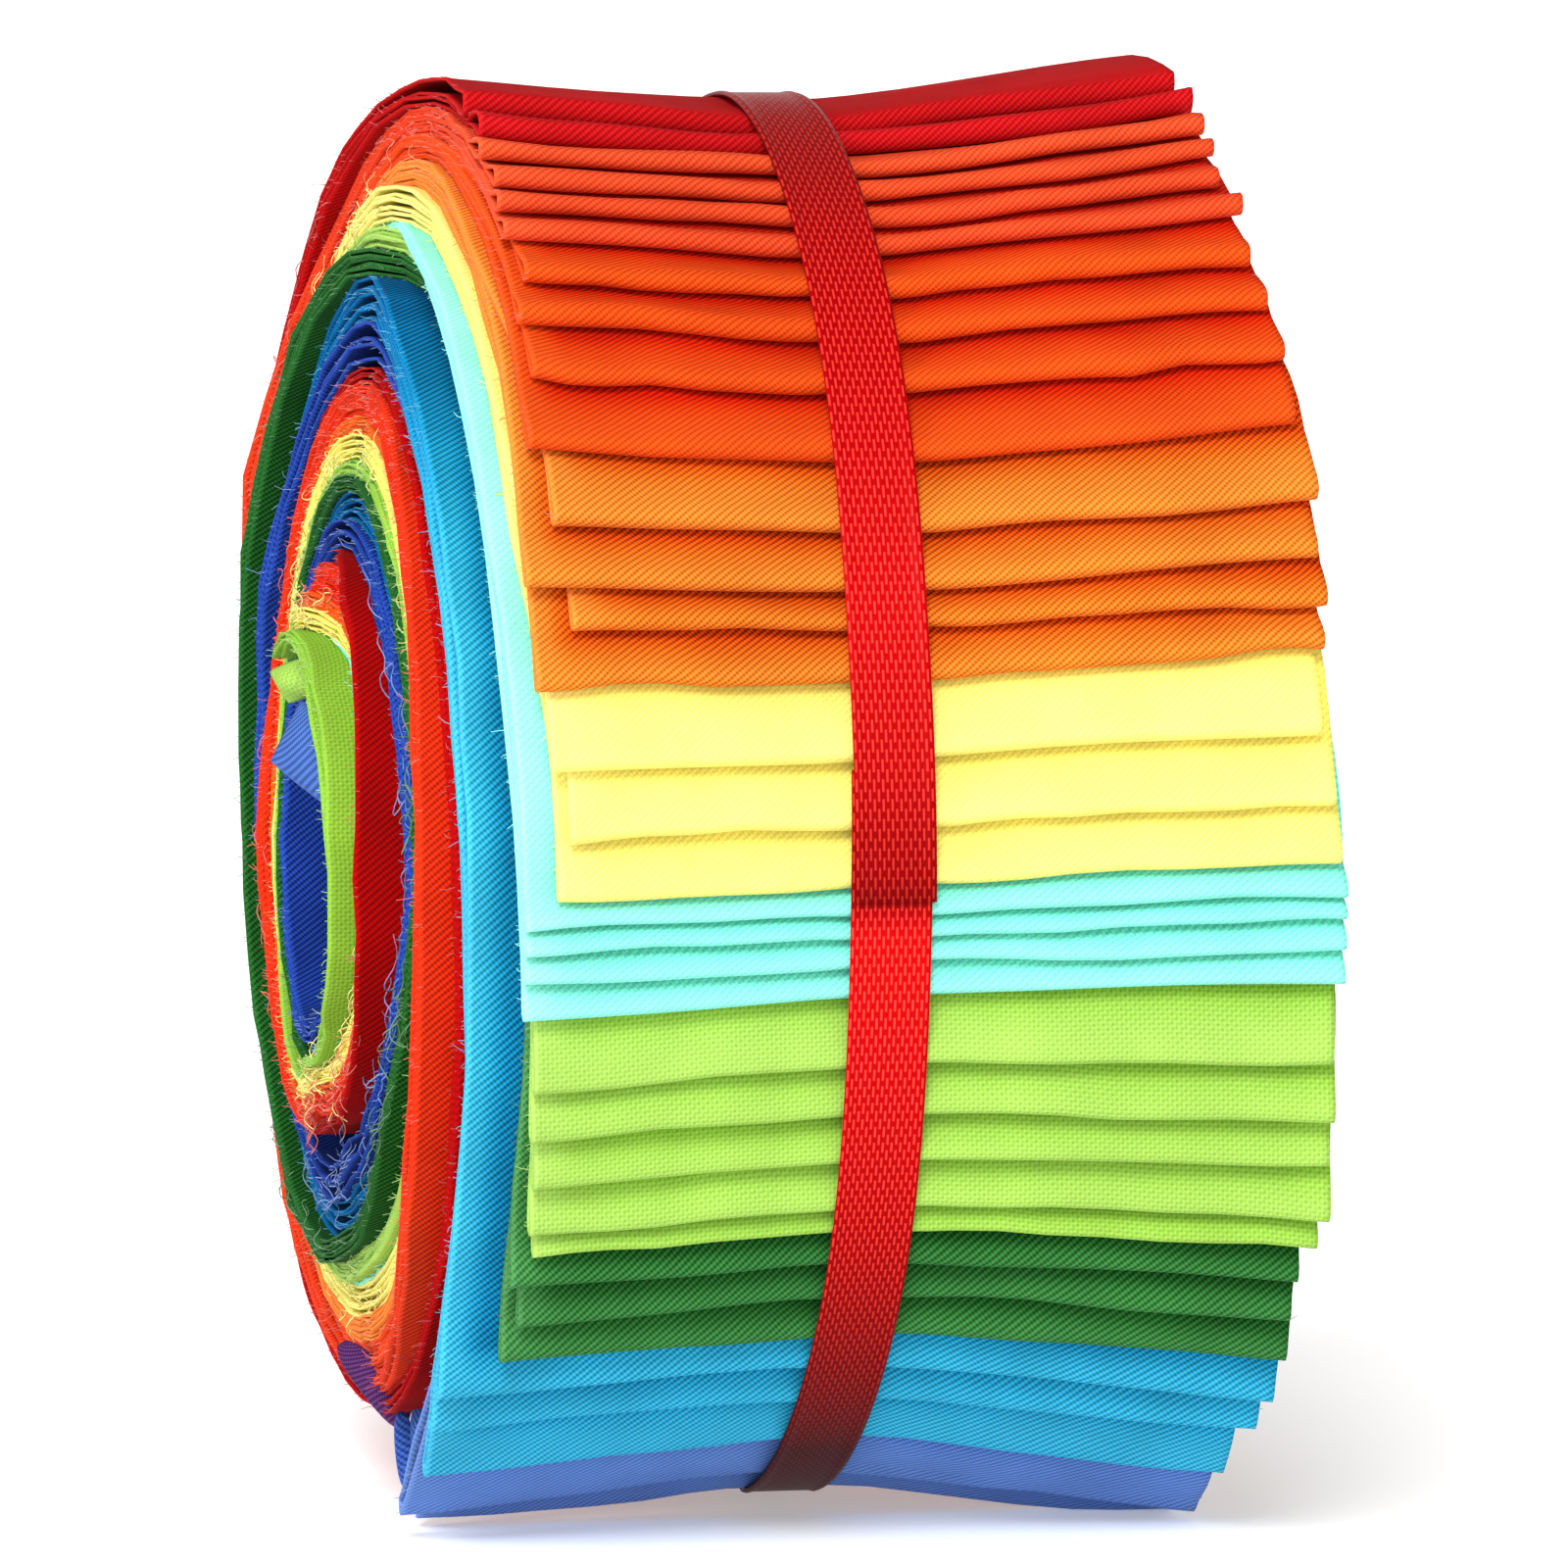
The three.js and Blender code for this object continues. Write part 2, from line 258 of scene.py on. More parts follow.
# %% [markdown]
# ## Where the cloth lies
#
# The outline is a circle whose radius grows from the ribbon to both rims, cut off level where the roll
# stands. Its centre lies above the winding's own centre, so the radius from there changes with the angle.
#
# Cloth is never quite even. `waves` adds up a few slow sine waves whose lengths and phases come from a
# seeded random generator, so that the unevenness is smooth and the same in every run.

# %% Outline and unevenness
WAVE_COUNT = 5
WAIST_ROUNDING = 2.0


def waves(seed, a, b, length_a, length_b):
    """Smooth unevenness between about -1 and 1 over two coordinates."""
    draw = np.random.default_rng(seed)
    total = 0.0
    for _ in range(WAVE_COUNT):
        rate_a, rate_b = draw.normal(0.0, 1.0, 2)
        phase = draw.uniform(0.0, 2 * math.pi)
        total = total + np.sin(2 * math.pi * (rate_a * a / length_a + rate_b * b / length_b) + phase)
    return total / 3.0


def smooth(value, low, high):
    """0 below low, 1 above high and an even S between them."""
    t = np.clip((value - low) / (high - low), 0.0, 1.0)
    return t * t * (3 - 2 * t)


def roll_radius(x):
    """The ribbon draws the roll in, and the rims stand out on both sides of it."""
    beside = np.maximum(0.0, np.abs(x - RIBBON_X) - RIBBON_WIDTH / 2)
    rise = np.sqrt(beside ** 2 + WAIST_ROUNDING ** 2) - WAIST_ROUNDING
    left = (LEFT_RIM_RADIUS - WAIST_RADIUS) / LEFT_FLARE_LENGTH
    right = (RIGHT_RIM_RADIUS - WAIST_RADIUS) / RIGHT_FLARE_LENGTH
    return WAIST_RADIUS + rise * np.where(x < RIBBON_X, left, right)


def outline(angle, x):
    """From the winding's centre to the outline, level where the roll stands."""
    s, c = np.sin(np.radians(angle)), np.cos(np.radians(angle))
    round_part = WINDING_DROP * c + np.sqrt(roll_radius(x) ** 2 - (WINDING_DROP * s) ** 2)
    return np.where(c < -0.01, np.minimum(round_part, WINDING_HEIGHT / np.maximum(-c, 0.01)), round_part)


print("radius under the ribbon and at both rims:", [round(float(roll_radius(x)), 1) for x in (-2.6, -31, 32)])

# %% [markdown]
# The fan is the difficult part. At each angle of the front, only the strips whose folds lie lower are
# there. The top one shows, and slopes in from its fold to where the strip above covers it. The depth of
# all others counts from it: one fold's depth for the first, and even shares of what is left for the rest.
# Past the top of the roll the shares are no longer even, because some colours lie loosely there and others
# are pressed flat.

# %% Depth in the stack
FAN_END = 166.0
FAN_FADE = 34.0
FOLD_WANDER = 0.3
FOLD_WANDER_LENGTH = 26.0
FLARE_FADES = (371.0, 460.0)
SECOND_TURN_FROM = (363.0, 376.0)
GAP_TO_NEXT_TURN = 0.3
FIRST_PLY_BEND = 0.7
LAYER_SHARE = {
    "dark_red": 1.3, "orange_red": 0.8, "deep_orange": 0.7, "orange": 0.8, "yellow": 1.4,
    "aqua": 0.12, "lime": 0.5, "dark_green": 1.0, "cerulean": 1.7, "periwinkle": 2.4,
}
LOOSENS = (140.0, 178.0)
layers = np.concatenate([[0.0], np.cumsum([LAYER_SHARE[strip.colour] for strip in STRIPS])])
layers = layers * COUNT / layers[-1]


def stack_place(place, at):
    """A place in the stack, in strips, with loose colours spread out and flat ones pressed together."""
    spread = np.interp(place, np.arange(COUNT + 1), layers)
    return place + (spread - place) * smooth(at, *LOOSENS)


def fold_angles(x):
    """Every strip's fold angle at each x, one row a strip, a little uneven along the fold."""
    rows = []
    for number, strip in enumerate(STRIPS):
        run = (x - (strip.left + strip.right) / 2) / (strip.right - strip.left)
        uneven = FOLD_WANDER * waves(100 + number, x, 0.0, FOLD_WANDER_LENGTH, 1.0)
        rows.append(strip.fold + strip.skew * run + uneven)
    return np.array(rows)


def skin(at, x):
    """The stack's outer surface: the outline on the first turn, and the winding's own further in."""
    first = outline(180.0 - at, x) - np.interp(at, SAG_AT, SAG)
    flare = (roll_radius(x) - (LEFT_RIM_RADIUS + WAIST_RADIUS) / 2) * (1 - smooth(at, *FLARE_FADES))
    second = winding(at, "outer") + flare
    return first + (second - first) * smooth(at, *SECOND_TURN_FROM)


def cloth_radius(place, at, x):
    """The radius of the cloth that has place strips above it in the stack."""
    angle = 180.0 - at
    folds = fold_angles(x)
    top = np.minimum((folds < angle - 1e-6).sum(axis=0), COUNT - 1)
    column = np.arange(len(x))
    lower = folds[top, column]
    upper = np.where(top > 0, folds[top - 1, column], TOP_STRIP_END)
    share = np.clip((angle - upper) / (lower - upper), 0.0, 1.0)
    share = np.where(top > 0, share, 1.0)
    below = np.maximum(stack_place(place, at) - stack_place(top, at), 0.0)
    bend = 1.0 + FIRST_PLY_BEND * np.exp(-below)
    deep = below + (1 - share) ** bend
    present = (COUNT - stack_place(top, at)) + (1 - share)
    thick = skin(at, x) - winding(at, "inner") - GAP_TO_NEXT_TURN
    even = thick / present
    in_fan = 1 - smooth(at, FAN_END, FAN_END + FAN_FADE)
    nose = even + (np.minimum(FOLD_DEPTH, thick / 2) - even) * in_fan
    rest = (thick - nose) / np.maximum(present - 1, 0.5)
    depth = nose * np.minimum(deep, 1) + rest * np.maximum(deep - 1, 0)
    return skin(at, x) - depth


probe = cloth_radius(np.array([17.0, 33.0]), np.array([90.0, 90.0]), np.array([0.0, 0.0]))
print("at the middle of the front the stack lies between radii", np.round(probe, 1))

# %% [markdown]
# ## The end of the roll
#
# The strips were stacked by hand and slid sideways as they were rolled, so each colour has its own left
# edge, and the core stands out at the left. These steps are what shows on the end of the roll. The table
# gives each colour's left edge at nineteen places of the winding, and straight lines join them.

# %% Edges at the left end
EDGE_AT = (90, 130, 166, 180, 210, 240, 270, 303, 330, 350, 375, 410, 450, 540, 630, 720, 810, 875, 900)
EDGE_LEFT = {
    "dark_red": (-29.6, -29.6, -29.6, -29.8, -34.4, -37.2, -37.0, -36.2, -34.6, -33.6,
                 -35.2, -34.6, -35.2, -35.5, -38.6, -38.6, -39.7, -38.8, -37.6),
    "orange_red": (-29.6, -29.6, -29.8, -29.6, -32.8, -38.2, -37.2, -36.8, -35.2, -34.2,
                   -35.8, -37.4, -37.7, -35.7, -39.3, -39.6, -38.2, -37.9, -38.8),
    "deep_orange": (-29.5, -30.0, -30.4, -30.2, -32.6, -36.8, -37.0, -36.2, -35.0, -34.2,
                    -35.9, -36.0, -36.4, -35.8, -38.6, -39.6, -38.0, -38.0, -39.4),
    "orange": (-30.0, -30.8, -31.2, -31.0, -33.0, -36.8, -37.0, -36.2, -35.5, -35.0,
               -36.2, -35.8, -36.0, -36.0, -38.6, -39.4, -37.8, -38.0, -40.0),
    "yellow": (-30.4, -31.2, -31.9, -33.0, -34.6, -36.8, -37.0, -36.4, -36.0, -35.4,
               -35.8, -35.3, -35.9, -36.3, -38.6, -39.9, -37.6, -38.0, -40.6),
    "aqua": (-31.8, -32.8, -33.6, -32.6, -33.6, -36.4, -36.8, -36.0, -35.4, -35.0,
             -35.4, -35.0, -35.5, -35.2, -38.2, -38.9, -37.6, -37.8, -39.6),
    "lime": (-30.4, -31.2, -31.6, -33.9, -35.2, -36.8, -37.2, -36.6, -36.4, -36.2,
             -36.6, -35.6, -35.5, -36.6, -38.8, -40.3, -40.9, -41.6, -41.8),
    "dark_green": (-30.2, -30.8, -31.2, -34.8, -37.8, -40.2, -39.8, -38.9, -38.2, -37.6,
                   -37.6, -38.0, -36.2, -36.8, -38.8, -39.2, -39.0, -39.4, -40.4),
    "cerulean": (-34.4, -35.2, -35.6, -34.6, -36.0, -37.6, -37.8, -37.4, -37.0, -36.6,
                 -36.8, -36.4, -35.4, -36.2, -38.2, -38.8, -39.2, -39.6, -40.0),
    "periwinkle": (-34.2, -35.0, -35.4, -35.2, -36.8, -39.2, -39.0, -38.2, -37.6, -37.2,
                   -37.4, -37.2, -36.0, -37.2, -39.2, -39.4, -39.6, -39.8, -40.2),
}

# No hidden cloth stands out beyond the folds that lie over it at the right.
RIGHT_AT = (12, 20, 31, 44, 58, 77, 90, 101, 119, 136, 152, 166, 190, 240)
RIGHT_LIMIT = (29.6, 30.0, 30.2, 31.3, 31.4, 32.0, 31.9, 30.6, 30.8, 29.4, 29.0, 28.6, 30.5, 33.0)
TUCKED_BACK = 0.6
EDGE_SETTLES = (4.0, 34.0)
SLOW_DRIFT = 0.3
SLOW_DRIFT_LENGTH = 150.0
QUICK_DRIFT = 0.2
QUICK_DRIFT_LENGTH = 20.0


def edges(number, at):
    """The left and right edges of a strip at each winding angle."""
    strip = STRIPS[number]
    after_fold = smooth(at - (180 - strip.fold), *EDGE_SETTLES)
    table = np.interp(at, EDGE_AT, EDGE_LEFT[strip.colour])
    drift = SLOW_DRIFT * waves(200 + number, at, 0.0, SLOW_DRIFT_LENGTH, 1.0)
    drift = drift + QUICK_DRIFT * waves(300 + number, at, 0.0, QUICK_DRIFT_LENGTH, 1.0)
    left = strip.left + (table + drift - strip.left) * after_fold
    limit = np.interp(at, RIGHT_AT, RIGHT_LIMIT) - TUCKED_BACK * after_fold + 0.5 * drift
    right = strip.right + (table + STRIP_WIDTH + drift - strip.right) * after_fold
    widest = np.maximum(limit, strip.right * (1 - after_fold) + limit * after_fold)
    return left, np.minimum(right, widest)


print("left edges at the front:", {name: row[0] for name, row in EDGE_LEFT.items()})

# %% [markdown]
# ## A strip of cloth
#
# A strip is made as the real one lies: one thin sheet that starts at a cut end, runs out along the inside,
# turns round at the fold and comes back along the outside. `stations` lists where the sheet's rows go,
# close together round the fold, and `across` where its columns go, close together at the edges. A bmesh
# grid with that many rows and columns is then laid along the winding, row by row. Each point also gets a
# painted shade: how deep it lies under another strip or inside the roll, by which its colour is darkened
# later.

# %% Rows and columns of a strip
FOLD_RADIUS = 0.55
PLY_SHARE = 0.9
RIDGE_HEIGHT = 0.32
RIDGE_FROM_FOLD = 1.0
RIDGE_WIDTH = 1.1
RIDGE_VARIES = 0.45
SHOWN_ROWS = (0.12, 0.25, 0.4, 0.55, 0.7, 0.85, 1.0, 1.12)
COVERED_ROWS = (2.0, 4.5, 7.5)
ROW_STEP = 7.5
TOP_STRIP_STEP = 2.5
CORE_FROM = 740
CORE_STEP = 10
UNEVEN_HEIGHT = 0.22
SPLAY_HEIGHT = 0.1
LOOSENED_AT = (340.0, 371.0)
# Painted shade: its reach below a covering fold, its fade in from the left edge and its amount on the inner
# turns.
SHADE_UNDER_FOLD_REACH = 1.5
SHADE_FROM_EDGE = (0.4, 4.5)
INNER_TURN_SHADE = (0.65, 0.2)
# Painted shade inside the roll for some colours: how much, and the winding angles over which it comes in.
INSIDE_SHADE = {
    "dark_red": (0.5, 158, 188),
    "orange_red": (0.4, 158, 188),
    "deep_orange": (0.2, 158, 188),
    "dark_green": (0.6, 150, 180),
    "cerulean": (1.6, 112, 182),
    "periwinkle": (1.4, 130, 170),
}
# Painted shade in the eye, on the inner ply of the innermost strips.
EYE_SHADE = 1.0
CUT_ENDS = (905.0, 930.0)
across = np.array([
    0, 0.008, 0.022, 0.05, 0.1, 0.16, 0.23, 0.3, 0.36, 0.41, 0.44, 0.475, 0.51, 0.545, 0.6, 0.66, 0.73, 0.8,
    0.87, 0.93, 0.97, 0.99, 1,
])


def stations(number):
    """Rows from cut end to fold and back: degrees past the fold, and from 0 outside to 1 inside."""
    strip = STRIPS[number]
    start = 180.0 - strip.fold
    shown = strip.fold - (STRIPS[number - 1].fold if number else TOP_STRIP_END)
    turn_in = math.degrees(FOLD_RADIUS / 57.0)
    near = [turn_in] + [shown * share for share in SHOWN_ROWS]
    near = [past for past in near if past >= turn_in]
    last = near[-1]
    near += [last + past for past in COVERED_ROWS]
    first = ROW_STEP * math.ceil((start + near[-1] + 2.0) / ROW_STEP)
    cut = CUT_ENDS[0] + (CUT_ENDS[1] - CUT_ENDS[0]) * number / (COUNT - 1) + 2.5 * math.sin(5.0 * number)
    core = list(np.arange(360, 735, ROW_STEP)) + list(np.arange(CORE_FROM, cut - 4, CORE_STEP)) + [cut]
    outer_step = TOP_STRIP_STEP if number == 0 else ROW_STEP
    hidden = near + [at - start for at in list(np.arange(first, 360, ROW_STEP)) + core]
    shows = near + [at - start for at in list(np.arange(first, 360, outer_step)) + core]
    loop = [(turn_in * (1 - math.cos(a)), (1 - math.sin(a)) / 2) for a in np.radians([-60, -30, 0, 30, 60])]
    inside = [(d, 1.0) for d in reversed(hidden)]
    outside = [(d, 0.0) for d in shows]
    return inside + loop + outside


rows_of_first = stations(0)
print("the top strip has", len(rows_of_first), "rows and", len(across), "columns")

# %% Lay a strip along the winding


def strip_points(number):
    """Every row's points in millimetres, the length of cloth up to it, its winding angles and its painted
    shade.
    """
    strip = STRIPS[number]
    rows = np.array(stations(number))
    start = 180.0 - strip.fold
    past, drop = rows[:, 0][:, None], rows[:, 1][:, None]
    nominal = start + past + 0 * across
    left, right = edges(number, nominal)
    x = left + (right - left) * across
    own_fold = fold_angles(x.ravel())[number].reshape(x.shape)
    at = nominal + (strip.fold - own_fold) * (1 - smooth(past, 6, 26))
    share = drop * (PLY_SHARE - 0.14 * np.exp(-past / 3.0)) + 0 * x
    radius = cloth_radius((number + share).ravel(), at.ravel(), x.ravel()).reshape(x.shape)
    from_fold = np.radians(past) * WAIST_RADIUS
    lively = RIDGE_HEIGHT * (1 + RIDGE_VARIES * waves(600 + number, x, 0.0, 20.0, 1.0))
    ridge = lively * np.exp(-((from_fold - RIDGE_FROM_FOLD) / RIDGE_WIDTH) ** 2) * (1 - drop)
    uneven = UNEVEN_HEIGHT * waves(400, x, at, 22.0, 16.0) * (1 - smooth(at, *LOOSENED_AT))
    from_edge = np.minimum(across, 1 - across) * STRIP_WIDTH
    splay = SPLAY_HEIGHT * waves(500 + number, at + 60 * drop, 0.0, 14.0, 1.0) * np.exp(-from_edge / 2.0)
    radius = radius + ridge + uneven + splay * (1 - 0.6 * smooth(at, 340, 380))
    # Painted shade: the colour is darkened below the covering fold, on the inner turns, in the eye and inside
    # the roll.
    above = STRIPS[number - 1].fold if number else TOP_STRIP_END
    to_cover = np.radians(strip.fold - above - past) * WAIST_RADIUS
    covered = np.exp(-np.maximum(to_cover, 0.0) / SHADE_UNDER_FOLD_REACH) if number else 0.0 * x
    covered = np.maximum(covered, drop * smooth(at, 400, 560))
    inner_turns = INNER_TURN_SHADE[0] * smooth(at, 385, 430) + INNER_TURN_SHADE[1] * smooth(at, 700, 740)
    tuck = covered * smooth(across * STRIP_WIDTH, *SHADE_FROM_EDGE) * (1 - inner_turns) + inner_turns
    tuck = np.maximum(tuck, EYE_SHADE * smooth(at, 540, 600) * (number >= COUNT - 3) * drop)
    inside_shade_amount, begins, ends = INSIDE_SHADE.get(strip.colour, (0.0, 150, 180))
    tuck = np.maximum(tuck, inside_shade_amount * smooth(at, begins, ends))
    angle = np.radians(180.0 - at)
    points = np.stack([
        x + TO_FRAME,
        -radius * np.sin(angle),
        np.maximum(WINDING_HEIGHT + radius * np.cos(angle), 0.05 + 0.2 * drop),
    ], axis=-1)
    middle = points[:, len(across) // 2]
    along = np.concatenate([[0.0], np.cumsum(np.linalg.norm(np.diff(middle, axis=0), axis=1))])
    return points, along, at, tuck


def sheet_mesh(name, points, u, v):
    """A bmesh grid laid on rows of points, with a UV map in millimetres of cloth."""
    count_v, count_u = points.shape[:2]
    form = bmesh.new()
    bmesh.ops.create_grid(form, x_segments=count_u - 1, y_segments=count_v - 1, size=0.5)
    places = {}
    for vert in form.verts:
        column = round((vert.co.x + 0.5) * (count_u - 1))
        row = round((vert.co.y + 0.5) * (count_v - 1))
        places[vert] = (row, column)
    for vert, (row, column) in places.items():
        vert.co = points[row, column] * MM
    cloth_map = form.loops.layers.uv.new("cloth")
    for face in form.faces:
        face.smooth = True
        for loop in face.loops:
            row, column = places[loop.vert]
            loop[cloth_map].uv = (u[column], v[row])
    mesh = bpy.data.meshes.new(name)
    form.to_mesh(mesh)
    form.free()
    piece = bpy.data.objects.new(name, mesh)
    bpy.context.scene.collection.objects.link(piece)
    return piece


points, along, at, tuck = strip_points(0)
print("the top strip's cloth is", round(along[-1]), "mm long")

# %% [markdown]
# ## Cotton
#
# Most of the strips are woven in a twill: each thread passes over two or more others, a step further on in
# every row, and this gives the fine diagonal lines. The weave is worked out from the cloth's own UV map,
# which is in millimetres, so that the threads have their real size and follow every fold. Wave textures
# make it: the diagonal lines and the threads that cross them in a twill, and two sets of threads in a
# plain weave. The cut edge adds a pale line. Their sum raises the surface through a Bump node and also
# colours it: the grooves are darker, as painted shade, and the top of each thread lighter, as a painted
# highlight with a little paler thread colour. A slow noise makes the dye uneven. Where a strip goes in under
# another or lies inside the roll, its colour is painted deeper and darker, as painted shade that stands for
# the shade there and for light that bounces between two folds of one colour and takes on more of it at
# every bounce.
#
# A cotton's row has the colour of its ground, how much paler the raised threads are, how much of its weave
# is twill, and how strongly the weave shows.

# %% Dyed cotton
Cotton = namedtuple("Cotton", "ground gleam twill relief")
COTTONS = {
    "dark_red": Cotton((0.41, 0.0030, 0.0050), 0.010, 1.0, 0.8),
    "orange_red": Cotton((0.60, 0.058, 0.014), 0.015, 1.0, 0.8),
    "deep_orange": Cotton((0.60, 0.058, 0.0030), 0.010, 1.0, 0.9),
    "orange": Cotton((0.64, 0.165, 0.014), 0.020, 1.0, 1.1),
    "yellow": Cotton((0.77, 0.68, 0.170), 0.030, 0.7, 0.35),
    "aqua": Cotton((0.24, 0.72, 0.60), 0.030, 0.7, 0.5),
    "lime": Cotton((0.29, 0.48, 0.082), 0.020, 0.4, 0.6),
    "dark_green": Cotton((0.030, 0.155, 0.034), 0.032, 1.0, 1.1),
    "cerulean": Cotton((0.020, 0.300, 0.470), 0.035, 1.0, 1.0),
    "periwinkle": Cotton((0.085, 0.170, 0.440), 0.035, 1.0, 0.9),
    # Painted shade: a darker purple copy of the periwinkle cotton, for the crumple at the foot.
    "shaded_periwinkle": Cotton((0.150, 0.055, 0.190), 0.035, 1.0, 0.9),
}
TWILL_PITCH = 0.48
TWILL_RISE = math.radians(50)
THREAD_PITCH = 0.30
GRID_PITCH = 0.36
# Painted shade in the weave's grooves and painted highlight on the thread tops, as shares of the ground
# colour.
THREAD_LIGHT = 1.32
GROOVE_SHADE = 0.56
EDGE_FUZZ = 0.45
# How far the painted shade number deepens and darkens a cotton's colour.
SHADE_DEEPENING = 0.85
WAVE_UNIT = math.pi / 10


def node(tree, kind, place, **inputs):
    """A shader node with its sockets set by name, with spaces for underscores."""
    made = tree.nodes.new(kind)
    made.location = place
    for name, value in inputs.items():
        made.inputs[name.replace("_", " ")].default_value = value
    return made


def stripes(tree, source, pitch, turn, place):
    """Even light and dark bands of one pitch across the cloth, turned by an angle."""
    turned = node(tree, "ShaderNodeMapping", (place[0] - 200, place[1]))
    turned.inputs["Rotation"].default_value = (0.0, 0.0, turn)
    bands = node(tree, "ShaderNodeTexWave", place, Scale=WAVE_UNIT / pitch, Distortion=0.25, Detail=1.0)
    bands.inputs["Detail Scale"].default_value = 0.6
    tree.links.new(source, turned.inputs["Vector"])
    tree.links.new(turned.outputs["Vector"], bands.inputs["Vector"])
    return bands.outputs["Fac"]


def scaled_sum(tree, parts, place):
    """The sum of several heights, each times its own weight."""
    total = None
    for step, (socket, weight) in enumerate(parts):
        part = tree.nodes.new("ShaderNodeMath")
        part.operation = "MULTIPLY_ADD"
        part.location = (place[0] + 180 * step, place[1])
        part.inputs[1].default_value = weight
        part.inputs[2].default_value = 0.0
        tree.links.new(socket, part.inputs[0])
        if total is not None:
            tree.links.new(total, part.inputs[2])
        total = part.outputs[0]
    return total


def cotton_material(colour):
    """One dyed cotton, woven as a twill or as a plain grid by its twill share."""
    cotton = COTTONS[colour]
    paint = bpy.data.materials.new(colour)
    paint.use_nodes = True
    tree = paint.node_tree
    shader = tree.nodes["Principled BSDF"]
    cloth_uv = node(tree, "ShaderNodeUVMap", (-1500, 0))
    cloth_uv.uv_map = "cloth"
    source = cloth_uv.outputs["UV"]
    diagonal = stripes(tree, source, TWILL_PITCH, TWILL_RISE, (-1000, 200))
    crossing = stripes(tree, source, THREAD_PITCH, TWILL_RISE - math.pi / 2, (-1000, -100))
    warp = stripes(tree, source, GRID_PITCH, 0.0, (-1000, -400))
    weft = stripes(tree, source, GRID_PITCH, math.pi / 2, (-1000, -700))
    sides = tree.nodes.new("ShaderNodeSeparateXYZ")
    sides.location = (-1250, -950)
    tree.links.new(source, sides.inputs["Vector"])
    cut_left = node(tree, "ShaderNodeMapRange", (-1000, -950), From_Max=EDGE_FUZZ, To_Min=1.0, To_Max=0.0)
    tree.links.new(sides.outputs["X"], cut_left.inputs["Value"])
    t = cotton.twill
    weave = scaled_sum(tree, [
        (diagonal, 0.68 * t),
        (crossing, 0.32 * t),
        (warp, 0.5 * (1 - t)),
        (weft, 0.5 * (1 - t)),
        (cut_left.outputs["Result"], 0.5),
    ], (-750, 0))
    dye = node(tree, "ShaderNodeTexNoise", (-1000, 500), Scale=0.12, Detail=3.0)
    tree.links.new(source, dye.inputs["Vector"])
    tone = tree.nodes.new("ShaderNodeValToRGB")
    tone.location = (0, 300)
    # The weave's colours: painted shade in the grooves, and painted highlight with a little paler thread
    # colour on the tops.
    light = [min(1.0, (1 + (THREAD_LIGHT - 1) * cotton.relief) * c + cotton.gleam) for c in cotton.ground]
    dark = [(1 - (1 - GROOVE_SHADE) * cotton.relief) * c for c in cotton.ground]
    tone.color_ramp.elements[0].position = 0.10
    tone.color_ramp.elements[0].color = (*dark, 1.0)
    tone.color_ramp.elements[1].position = 0.95
    tone.color_ramp.elements[1].color = (*light, 1.0)
    middle = tone.color_ramp.elements.new(0.45)
    middle.color = (*cotton.ground, 1.0)
    tree.links.new(weave, tone.inputs["Fac"])
    uneven = node(tree, "ShaderNodeMapRange", (-750, 500), From_Min=0.3, From_Max=0.7, To_Min=0.9, To_Max=1.1)
    tree.links.new(dye.outputs["Fac"], uneven.inputs["Value"])
    dyed = tree.nodes.new("ShaderNodeVectorMath")
    dyed.operation = "SCALE"
    dyed.location = (300, 300)
    tree.links.new(tone.outputs["Color"], dyed.inputs[0])
    tree.links.new(uneven.outputs["Result"], dyed.inputs["Scale"])
    # Painted shade: the colour is raised to a power that grows with each point's painted shade number.
    shade_reader = tree.nodes.new("ShaderNodeAttribute")
    shade_reader.attribute_name = "tuck"
    shade_reader.location = (0, 600)
    deepest_shade = 1.0 + SHADE_DEEPENING * min(1.0, cotton.relief)
    shade_gamma = node(tree, "ShaderNodeMapRange", (200, 600), From_Max=1.0, To_Min=1.0, To_Max=deepest_shade)
    shade_gamma.clamp = False
    shaded_colour = tree.nodes.new("ShaderNodeGamma")
    shaded_colour.location = (500, 400)
    tree.links.new(shade_reader.outputs["Fac"], shade_gamma.inputs["Value"])
    tree.links.new(shade_gamma.outputs["Result"], shaded_colour.inputs["Gamma"])
    tree.links.new(dyed.outputs["Vector"], shaded_colour.inputs["Color"])
    tree.links.new(shaded_colour.outputs["Color"], shader.inputs["Base Color"])
    raised = node(tree, "ShaderNodeBump", (300, -200), Strength=0.4, Distance=0.00008)
    tree.links.new(weave, raised.inputs["Height"])
    tree.links.new(raised.outputs["Normal"], shader.inputs["Normal"])
    shader.inputs["Roughness"].default_value = 0.9
    shader.inputs["Specular IOR Level"].default_value = 0.06
    return paint


cotton_paints = {colour: cotton_material(colour) for colour in COTTONS}
print("cottons:", sorted(cotton_paints))

# %% [markdown]
# ## All the strips
#
# Each sheet gets its thickness from a Solidify modifier. The cloth is pressed thinner towards the middle
# of the roll, where the turns are tight, so a vertex group tells the modifier how much of the thickness to
# give. The strip stands for its folded end in the frame and, with the others, for the wound roll.

# %% Make the strips
CLOTH_THICKNESS = 0.26
PRESSED_SHARE = 0.5
strip_pieces = []
laid = []


def thicken(piece, share):
    """Turns the sheet into cloth with a thickness that follows share, one value for each row."""
    group = piece.vertex_groups.new(name="loft")
    columns = len(piece.data.vertices) // len(share)
    for vertex in piece.data.vertices:
        group.add([vertex.index], float(share[vertex.index // columns]), "REPLACE")
    solid = piece.modifiers.new("thickness", "SOLIDIFY")
    solid.thickness = CLOTH_THICKNESS * MM
    solid.offset = -1.0
    solid.vertex_group = "loft"
    solid.use_rim = True


